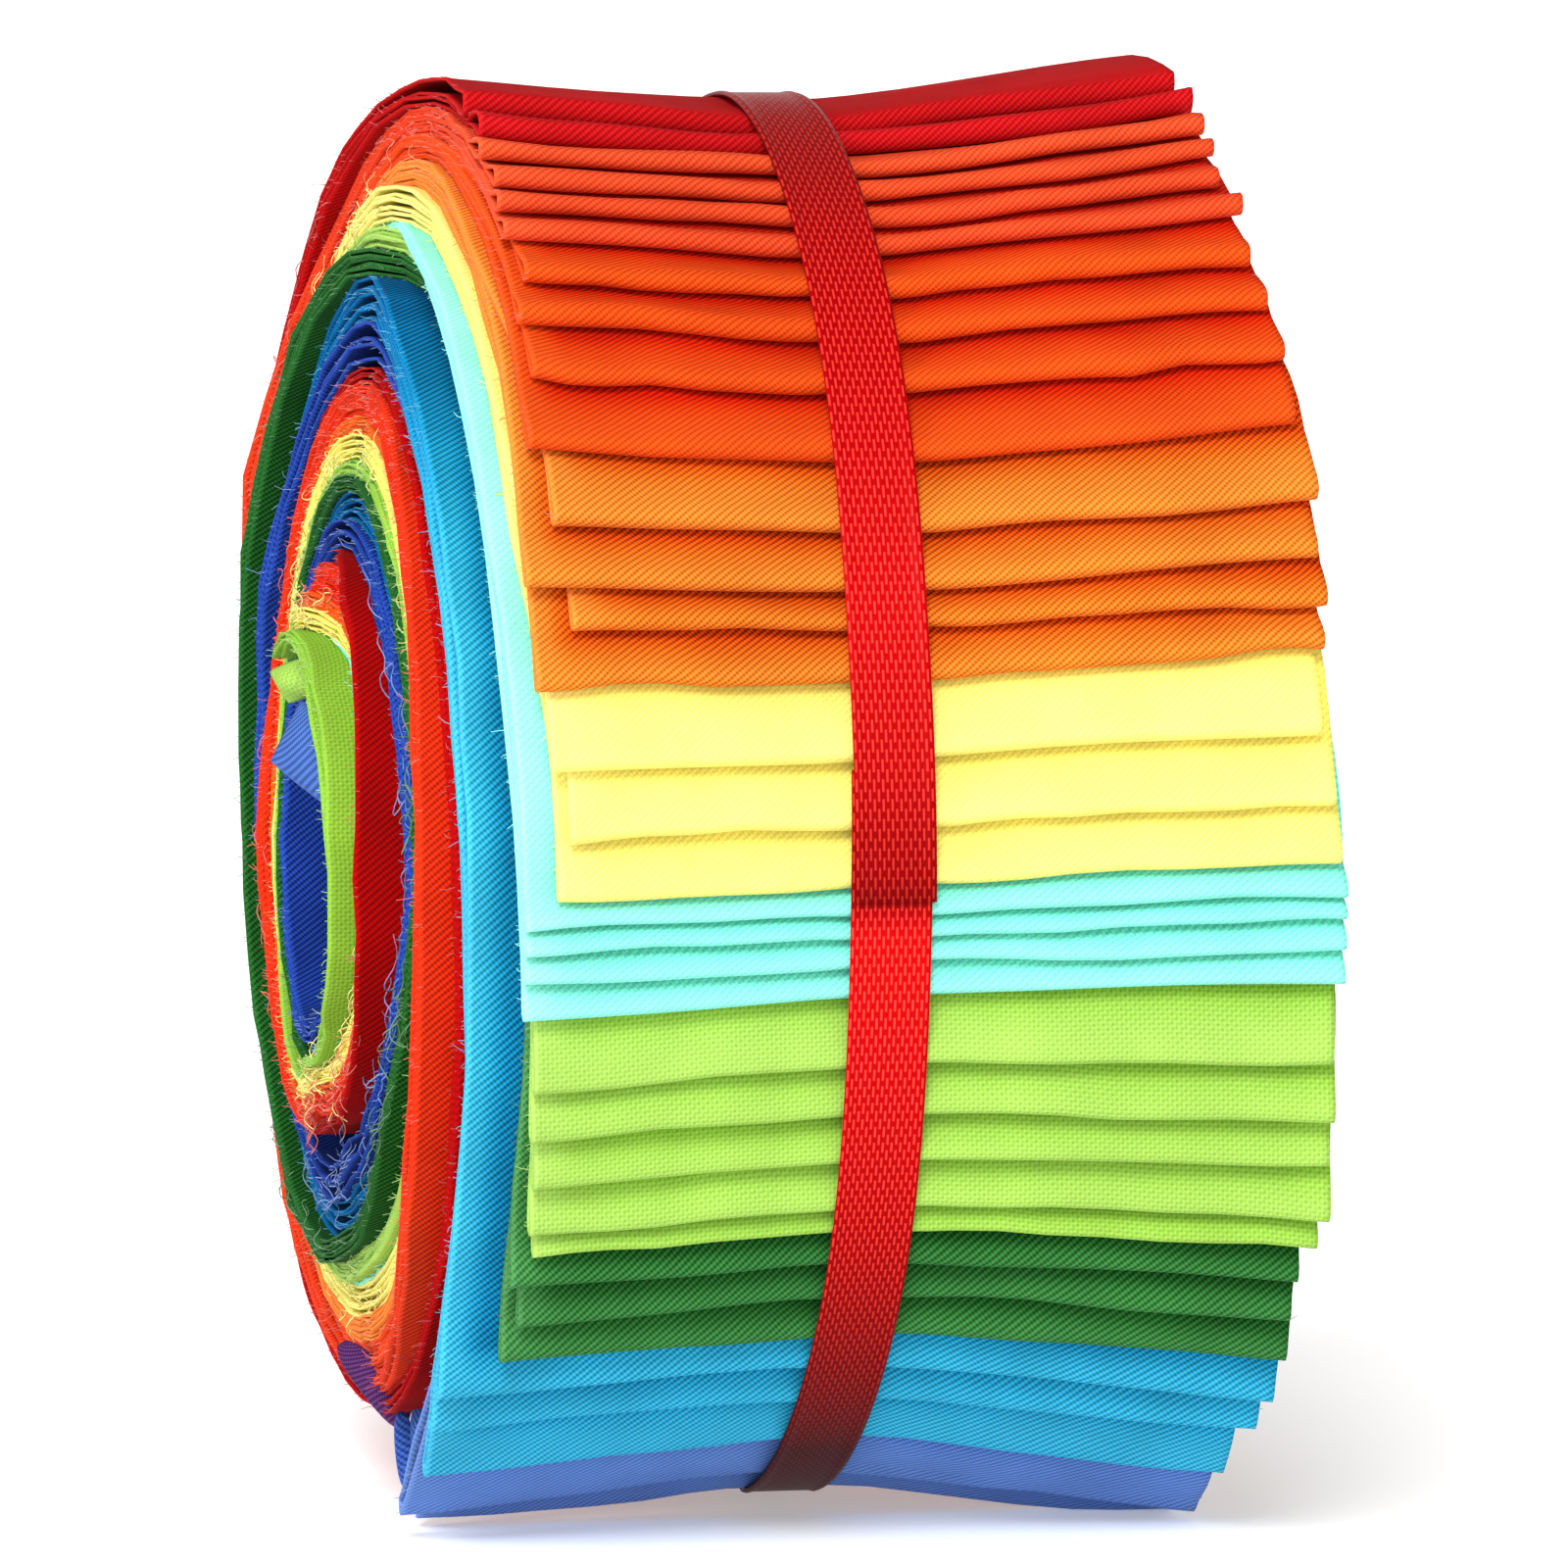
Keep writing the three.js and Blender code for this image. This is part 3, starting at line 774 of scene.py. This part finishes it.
def give_painted_shade(piece, tuck):
    """Writes each point's painted shade, by which the colour is darkened and deepened where shade falls."""
    layer = piece.data.attributes.new("tuck", "FLOAT", "POINT")
    layer.data.foreach_set("value", np.clip(tuck, 0.0, 2.0).ravel())


for number, strip in enumerate(STRIPS):
    points, along, at, tuck = strip_points(number)
    laid.append((points, along, at))
    name = f"strip_{number + 1:02d}_{strip.colour}"
    piece = sheet_mesh(f"cloth_{name}", points, across * STRIP_WIDTH, along)
    give_painted_shade(piece, tuck)
    loft = 1 - (1 - PRESSED_SHARE) * smooth(at[:, 0], 300, 400)
    thicken(piece, loft)
    piece.data.materials.append(cotton_paints[strip.colour])
    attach(piece, "root")
    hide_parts(name, "wound_roll")
    strip_pieces.append(piece)

print("strips:", len(strip_pieces), "faces each about", len(strip_pieces[0].data.polygons))

# %% [markdown]
# ## Turned-over corners
#
# A few corners of the innermost cut ends are turned over and stick out of the eye, and at the roll's foot
# the undermost strips are crumpled and puff out in two upright loops. Each is a small sheet between four
# corners, with a bulge in its middle, and the loops are narrowed towards both ends. The crumple is cloth of
# the periwinkle strips, painted in a darker purple copy of their colour as painted shade, and every piece
# also has its own painted shade number.

# %% Turned-over corners
# Each corner's row: its name, its cotton, its painted shade number, its bulge, its roundness and its corners.
Corner = namedtuple("Corner", "name colour tuck bulge roundness corners")
CORNERS = [
    Corner("blue_corner", "periwinkle", 0.35, 0.9, 0.0,
           ((-43.2, -1, 62.4), (-40.9, -3, 67.4), (-39.2, -7, 58.9), (-39.4, -7, 66.4))),
    Corner("lime_corner", "lime", 0.1, 1.3, 0.0,
           ((-41.4, 1, 67.2), (-42.7, 3, 69.6), (-39.4, -3, 68.4), (-40.6, -1, 70.8))),
    Corner("foot_crumple", "shaded_periwinkle", 0.6, 0.9, 0.9,
           ((-37.6, 5, 12.6), (-36.0, 2, 14.0), (-33.2, -6, 6.4), (-32.4, -7, 9.8))),
    Corner("outer_foot_loop", "periwinkle", 0.7, 0.5, 1.0,
           ((-34.2, -8, 9.0), (-33.0, -9, 9.2), (-33.8, -9, 2.8), (-32.6, -10, 2.6))),
    Corner("inner_foot_loop", "periwinkle", 0.5, 0.7, 1.0,
           ((-33.2, -10, 10.2), (-31.8, -12, 10.2), (-32.6, -11, 1.2), (-31.2, -14, 1.0))),
]
CORNER_CELLS = 12


def corner_points(corner):
    """A curved patch between four corners, narrowed to a rounded loop at both ends by its roundness."""
    u = np.linspace(-1, 1, CORNER_CELLS + 1)[None, :, None]
    v = np.linspace(0, 1, CORNER_CELLS + 1)[:, None, None]
    a, b, c, d = [np.array(p, dtype=float) for p in corner.corners]
    narrow = np.sqrt(1 - corner.roundness * 0.98 * np.abs(2 * v - 1) ** 3)
    middle = (a + b) / 2 * (1 - v) + (c + d) / 2 * v
    half = ((b - a) * (1 - v) + (d - c) * v) / 2
    towards_end = np.array([-0.8, -0.6, 0.0])
    raised = corner.bulge * np.cos(math.pi / 2 * u) ** 0.8 * np.sin(math.pi * v) ** 0.8 * towards_end
    return middle + half * u * narrow + raised + np.array([TO_FRAME, 0.0, 0.0])


for corner in CORNERS:
    points = corner_points(corner)
    width = np.linalg.norm(np.diff(points, axis=1), axis=2).sum(axis=1).mean()
    length = np.linalg.norm(np.diff(points, axis=0), axis=2).sum(axis=0).mean()
    steps = np.linspace(0, 1, CORNER_CELLS + 1)
    piece = sheet_mesh(corner.name, points, steps * width, steps * length)
    give_painted_shade(piece, np.full(len(piece.data.vertices), corner.tuck))
    thicken(piece, np.ones(CORNER_CELLS + 1))
    piece.data.materials.append(cotton_paints[corner.colour])
    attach(piece, "root")
    print(corner.name, "measures", round(width, 1), "x", round(length, 1), "mm")

# %% [markdown]
# ## Frayed edges
#
# A strip's long sides are only cut, so they fray: short ends of thread stand out all along them, and here
# and there a long one has come loose and curls over the end of the roll. Every thread is a thin tube of
# three sides. One tube is made as a template and then repeated along many paths at once with arrays.

# %% Helpers for threads
THREAD_SIDES = 3


def thread_template(rings):
    """A thin open tube: each vertex's ring and turn, and the faces between them."""
    form = bmesh.new()
    bmesh.ops.create_cone(form, cap_ends=False, segments=THREAD_SIDES, radius1=1.0, radius2=1.0, depth=1.0)
    upright = [edge for edge in form.edges if abs(edge.verts[0].co.z - edge.verts[1].co.z) > 0.5]
    if rings > 2:
        bmesh.ops.subdivide_edges(form, edges=upright, cuts=rings - 2, use_grid_fill=True)
    form.verts.index_update()
    ring = np.array([round((vert.co.z + 0.5) * (rings - 1)) for vert in form.verts])
    turn = np.array([math.atan2(vert.co.y, vert.co.x) for vert in form.verts])
    faces = np.array([[vert.index for vert in face.verts] for face in form.faces])
    form.free()
    return ring, turn, faces


def unit(vectors):
    """Vectors of length one."""
    return vectors / np.maximum(np.linalg.norm(vectors, axis=-1, keepdims=True), 1e-9)


def lay_threads(name, paths, radius, colour):
    """One mesh of thin tubes along paths, given in millimetres as threads x rings x 3, thinner at the tip."""
    ring, turn, faces = thread_template(paths.shape[1])
    heading = unit(np.gradient(paths, axis=1))
    side = unit(np.cross(heading, np.array([0.31, 0.52, 0.79])))
    other = np.cross(heading, side)
    taper = radius * np.linspace(1.0, 0.55, paths.shape[1])[ring][None, :, None]
    spread = side[:, ring] * np.cos(turn)[None, :, None] + other[:, ring] * np.sin(turn)[None, :, None]
    verts = (paths[:, ring] + taper * spread).reshape(-1, 3)
    offsets = (np.arange(len(paths)) * len(ring))[:, None, None]
    quads = (faces[None] + offsets).reshape(-1, faces.shape[1])
    mesh = bpy.data.meshes.new(name)
    mesh.from_pydata((verts * MM).tolist(), [], quads.tolist())
    piece = bpy.data.objects.new(name, mesh)
    bpy.context.scene.collection.objects.link(piece)
    piece.data.materials.append(thread_paints[colour])
    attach(piece, "root")
    return piece


def thread_material(colour):
    """The pale, fuzzy look of a cotton's loose threads."""
    cotton = COTTONS[colour]
    paint = bpy.data.materials.new(f"{colour}_thread")
    paint.use_nodes = True
    shader = paint.node_tree.nodes["Principled BSDF"]
    pale = [0.8 * c + 0.09 for c in cotton.ground]
    shader.inputs["Base Color"].default_value = (*pale, 1.0)
    shader.inputs["Roughness"].default_value = 1.0
    shader.inputs["Specular IOR Level"].default_value = 0.05
    return paint


thread_paints = {colour: thread_material(colour) for colour in COTTONS}
print("a short thread has", len(thread_template(3)[2]), "faces")

# %% [markdown]
# The short threads stand at random places on the left edges, and fewer on the right ones. Each leaves the
# edge sideways, leans a little along the roll's turn and bends once.

# %% Short threads
WHISKER_GAP = 3.1
WHISKER_RADIUS = 0.04
whisker_draw = np.random.default_rng(71)


def edge_places(number, side, gap):
    """Random places on one long side of a strip: the point, the ways out and along, and the winding angle."""
    points, along, at = laid[number]
    near, far = (0, 2) if side == "left" else (-1, -3)
    count = int(along[-1] / gap)
    where = np.sort(whisker_draw.uniform(0.0, along[-1], count))
    row = np.clip(np.searchsorted(along, where) - 1, 0, len(along) - 2)
    share = ((where - along[row]) / (along[row + 1] - along[row]))[:, None]
    place = points[row, near] * (1 - share) + points[row + 1, near] * share
    out = unit(points[row, near] - points[row, far])
    way = unit(points[row + 1, near] - points[row, near])
    return place, out, way, at[row, near]


def whiskers(number, side, gap):
    """Short bent threads on one long side of a strip."""
    place, out, way, _ = edge_places(number, side, gap)
    count = len(place)
    lean = whisker_draw.normal(0.0, 0.75, (count, 1))
    lift = whisker_draw.normal(0.0, 0.35, (count, 1))
    length = np.minimum(0.15 + whisker_draw.exponential(0.24, (count, 1)), 1.8)
    across_edge = np.cross(out, way)
    heading = unit(out + lean * way + lift * across_edge)
    bend = unit(whisker_draw.normal(0.0, 1.0, (count, 3))) * 0.45
    middle = place + heading * length * 0.5
    tip = middle + unit(heading + bend) * length * 0.5
    return np.stack([place - 0.3 * out, middle, tip], axis=1)


for colour in EDGE_LEFT:
    numbers = [n for n, strip in enumerate(STRIPS) if strip.colour == colour]
    paths = [whiskers(n, "left", WHISKER_GAP) for n in numbers]
    paths += [whiskers(n, "right", 4 * WHISKER_GAP) for n in numbers]
    frayed = lay_threads(f"frayed_edge_{colour}", np.concatenate(paths), WHISKER_RADIUS, colour)
    print(frayed.name, len(frayed.data.polygons), "faces")

# %% [markdown]
# The long threads are listed by colour and by the part of the winding where the photograph shows them.
# Each one wanders: its heading turns by a slowly changing amount at every step, always near the end of the
# roll.

# %% Long loose threads
Loose = namedtuple("Loose", "colour start end count length")
LOOSE = [
    Loose("dark_red", 190, 225, 5, 6.0),
    Loose("orange_red", 195, 240, 12, 6.0),
    Loose("orange", 178, 225, 26, 5.0),
    Loose("orange_red", 176, 210, 24, 4.0),
    Loose("yellow", 180, 225, 30, 5.0),
    Loose("lime", 185, 240, 14, 5.0),
    Loose("dark_green", 300, 350, 14, 5.0),
    Loose("yellow", 325, 378, 22, 6.0),
    Loose("lime", 340, 380, 16, 5.0),
    Loose("periwinkle", 325, 378, 26, 7.0),
    Loose("yellow", 470, 590, 40, 6.0),
    Loose("lime", 480, 600, 30, 5.0),
    Loose("periwinkle", 395, 500, 26, 7.0),
    Loose("dark_green", 400, 480, 20, 8.0),
    Loose("orange_red", 590, 660, 14, 6.0),
    Loose("yellow", 700, 800, 80, 7.0),
    Loose("orange_red", 690, 770, 30, 7.0),
    Loose("orange", 885, 920, 20, 5.0),
    Loose("yellow", 885, 925, 24, 5.0),
    Loose("cerulean", 760, 930, 20, 5.0),
]
LOOSE_RADIUS = 0.065
LOOSE_RINGS = 14
INWARD_SWAY = 0.4
loose_draw = np.random.default_rng(93)


def loose_threads(row):
    """Long wandering threads from the edges of one colour."""
    numbers = [n for n, strip in enumerate(STRIPS) if strip.colour == row.colour]
    found = [edge_places(n, "left", 1.2) for n in numbers]
    place, out, way, at = [np.concatenate(parts) for parts in zip(*found)]
    within = np.flatnonzero((at > row.start) & (at < row.end))
    chosen = loose_draw.choice(within, min(row.count, len(within)), replace=False)
    place, way = place[chosen], way[chosen]
    count = len(chosen)
    outwards = np.tile([-1.0, 0.0, 0.0], (count, 1))
    radial = np.cross(outwards, way)
    step = row.length * loose_draw.uniform(0.5, 1.2, count) / (LOOSE_RINGS - 1)
    turn = loose_draw.choice([-1.0, 1.0], count) * loose_draw.uniform(0.6, 1.0, count)
    course = np.where(loose_draw.uniform(size=count) < 0.5, 0.0, math.pi) + loose_draw.normal(0.0, 0.4, count)
    spin = loose_draw.normal(0.0, 0.22, count)
    here = place.copy()
    path = [here - 0.3 * outwards]
    for ring in range(1, LOOSE_RINGS):
        spin = 0.8 * spin + loose_draw.normal(0.0, 0.16, count)
        course = course + spin
        rise = 0.6 * math.exp(-ring / 2.0) - 0.08 + 0.3 * np.sin(turn * ring)
        flat = np.cos(course)[:, None] * way + INWARD_SWAY * np.sin(course)[:, None] * radial
        here = here + step[:, None] * unit(flat + rise[:, None] * outwards)
        path.append(here)
    return np.stack(path, axis=1)


for number, row in enumerate(LOOSE):
    lay_threads(f"loose_threads_{number + 1:02d}_{row.colour}", loose_threads(row), LOOSE_RADIUS, row.colour)
print("loose threads:", sum(row.count for row in LOOSE))

# %% [markdown]
# ## The ribbon
#
# The ribbon is double-faced satin, 6.4 mm wide. It runs once round the waist, and its upper end is laid
# over its lower one at the front, where the two are stuck together. Satin threads float over many others
# along the ribbon, so it shines across its length, with a corded selvage at both edges.

# %% Satin
RIBBON_FROM = 80.0
RIBBON_TO = 451.5
RIBBON_STEP = 2.5
RIBBON_THICKNESS = 0.35
LAP_RISE = (424.0, 444.0)

# Under the roll the taut ribbon runs straight from the lowest fold to the sagging back, inside the outline.
TAUT_AT = (168.0, 180.0, 195.0, 210.0, 230.0, 255.0)
TAUT_SAG = (0.0, 3.9, 5.6, 4.2, 1.1, 0.0)
FLOAT_LENGTH = 1.5
FLOAT_SPACING = 0.35
FLOAT_LENGTH_SHARE = 0.55
FLOAT_WIDTH_SHARE = 0.36
# The floats are painted lighter than the ground between them: a painted sheen on the floats and painted shade
# between them.
SATIN_GROUND = (0.33, 0.0008, 0.0020)
SATIN_FLOAT_SHEEN = (0.76, 0.034, 0.024)

# Painted highlight and shade: the satin's colour is scaled by these numbers at angles round the roll, most
# where it lies over the front and under the lap, least underneath.
PAINTED_GLEAM_AT = (0, 25, 50, 68, 80, 86, 91.4, 91.6, 96, 112, 135, 150, 180, 270, 360)
PAINTED_GLEAM = (0.48, 0.60, 0.95, 1.25, 0.95, 0.62, 0.55, 1.40, 1.40, 1.05, 0.42, 0.10, 0.10, 0.50, 0.48)


def satin_material():
    """Dark red satin with short staggered floats, painted lighter than the ground as a painted sheen, and its
    colour scaled by the painted gleam.
    """
    paint = bpy.data.materials.new("ribbon_red")
    paint.use_nodes = True
    tree = paint.node_tree
    shader = tree.nodes["Principled BSDF"]
    cloth_uv = node(tree, "ShaderNodeUVMap", (-1200, 0))
    cloth_uv.uv_map = "cloth"
    gap = (1 - FLOAT_LENGTH_SHARE) / 2
    row = 2 * gap / (1 - FLOAT_WIDTH_SHARE)
    turned = node(tree, "ShaderNodeMapping", (-1000, 0))
    turned.inputs["Rotation"].default_value = (0.0, 0.0, math.radians(90))
    turned.inputs["Scale"].default_value = (row / FLOAT_SPACING, 1 / FLOAT_LENGTH, 1.0)
    floats = tree.nodes.new("ShaderNodeTexBrick")
    floats.location = (-800, 0)
    floats.offset = 0.5
    floats.inputs["Scale"].default_value = 1.0
    floats.inputs["Brick Width"].default_value = 1.0
    floats.inputs["Row Height"].default_value = row
    floats.inputs["Mortar Size"].default_value = gap
    floats.inputs["Mortar Smooth"].default_value = 0.35
    floats.inputs["Color1"].default_value = (*SATIN_FLOAT_SHEEN, 1.0)
    floats.inputs["Color2"].default_value = (*SATIN_FLOAT_SHEEN, 1.0)
    floats.inputs["Mortar"].default_value = (*SATIN_GROUND, 1.0)
    tree.links.new(cloth_uv.outputs["UV"], turned.inputs["Vector"])
    tree.links.new(turned.outputs["Vector"], floats.inputs["Vector"])
    # Painted highlight and shade along the ribbon, read from each point.
    gleam = tree.nodes.new("ShaderNodeAttribute")
    gleam.attribute_name = "gleam"
    gleam.location = (-800, 300)
    toned = tree.nodes.new("ShaderNodeVectorMath")
    toned.operation = "SCALE"
    toned.location = (-400, 100)
    tree.links.new(floats.outputs["Color"], toned.inputs[0])
    tree.links.new(gleam.outputs["Fac"], toned.inputs["Scale"])
    tree.links.new(toned.outputs["Vector"], shader.inputs["Base Color"])
    raised = node(tree, "ShaderNodeBump", (-300, -300), Strength=0.4, Distance=0.0001)
    raised.invert = True
    tree.links.new(floats.outputs["Fac"], raised.inputs["Height"])
    tree.links.new(raised.outputs["Normal"], shader.inputs["Normal"])
    shader.inputs["Roughness"].default_value = 0.36
    shader.inputs["Specular IOR Level"].default_value = 0.02
    return paint


# %% Lay the ribbon
ribbon_across = np.array([
    0, 0.03, 0.06, 0.09, 0.13, 0.2, 0.3, 0.4, 0.5, 0.6, 0.7, 0.8, 0.87, 0.91, 0.94, 0.97, 1,
])
SELVAGE_HEIGHT = 0.12
SELVAGE_FROM_EDGE = 0.4
SELVAGE_WIDTH = 0.25
LAP_GAP = 0.06
LAID_OVER = 0.3


def ribbon_points():
    """Rows of points once round the waist, lifted where the upper end laps over the lower one."""
    angle = np.arange(RIBBON_FROM, RIBBON_TO + 0.01, RIBBON_STEP)[:, None] + 0 * ribbon_across
    sideways = 0.25 * waves(900, angle, 0.0, 90.0, 1.0)
    x = RIBBON_X + (ribbon_across - 0.5) * RIBBON_WIDTH + sideways
    lift = smooth(angle, *LAP_RISE) * (RIBBON_THICKNESS + LAP_GAP)
    from_edge = np.minimum(ribbon_across, 1 - ribbon_across) * RIBBON_WIDTH
    cord = SELVAGE_HEIGHT * np.exp(-((from_edge - SELVAGE_FROM_EDGE) / SELVAGE_WIDTH) ** 2)
    taut = np.interp(angle, TAUT_AT, TAUT_SAG)
    radius = outline(angle, x) - taut + LAID_OVER + RIBBON_THICKNESS + lift + cord
    turn = np.radians(angle)
    points = np.stack([
        x + TO_FRAME,
        -radius * np.sin(turn),
        WINDING_HEIGHT + radius * np.cos(turn),
    ], axis=-1)
    middle = points[:, len(ribbon_across) // 2]
    along = np.concatenate([[0.0], np.cumsum(np.linalg.norm(np.diff(middle, axis=0), axis=1))])
    return points[::-1], along, (angle[:, 0] % 360)[::-1]


points, along, ribbon_angle = ribbon_points()
ribbon = sheet_mesh("satin_ribbon", points, ribbon_across * RIBBON_WIDTH, along)
# Painted highlight and shade: each row of the ribbon gets its scale of the satin's colour.
gleam = ribbon.data.attributes.new("gleam", "FLOAT", "POINT")
gleam.data.foreach_set("value", np.repeat(np.interp(ribbon_angle, PAINTED_GLEAM_AT, PAINTED_GLEAM), len(ribbon_across)))
ribbon_solid = ribbon.modifiers.new("thickness", "SOLIDIFY")
ribbon_solid.thickness = RIBBON_THICKNESS * MM
ribbon_solid.offset = -1.0
ribbon.data.materials.append(satin_material())
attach(ribbon, "root")
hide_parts("ribbon_tie")
print("the ribbon is", round(along[-1]), "mm long")
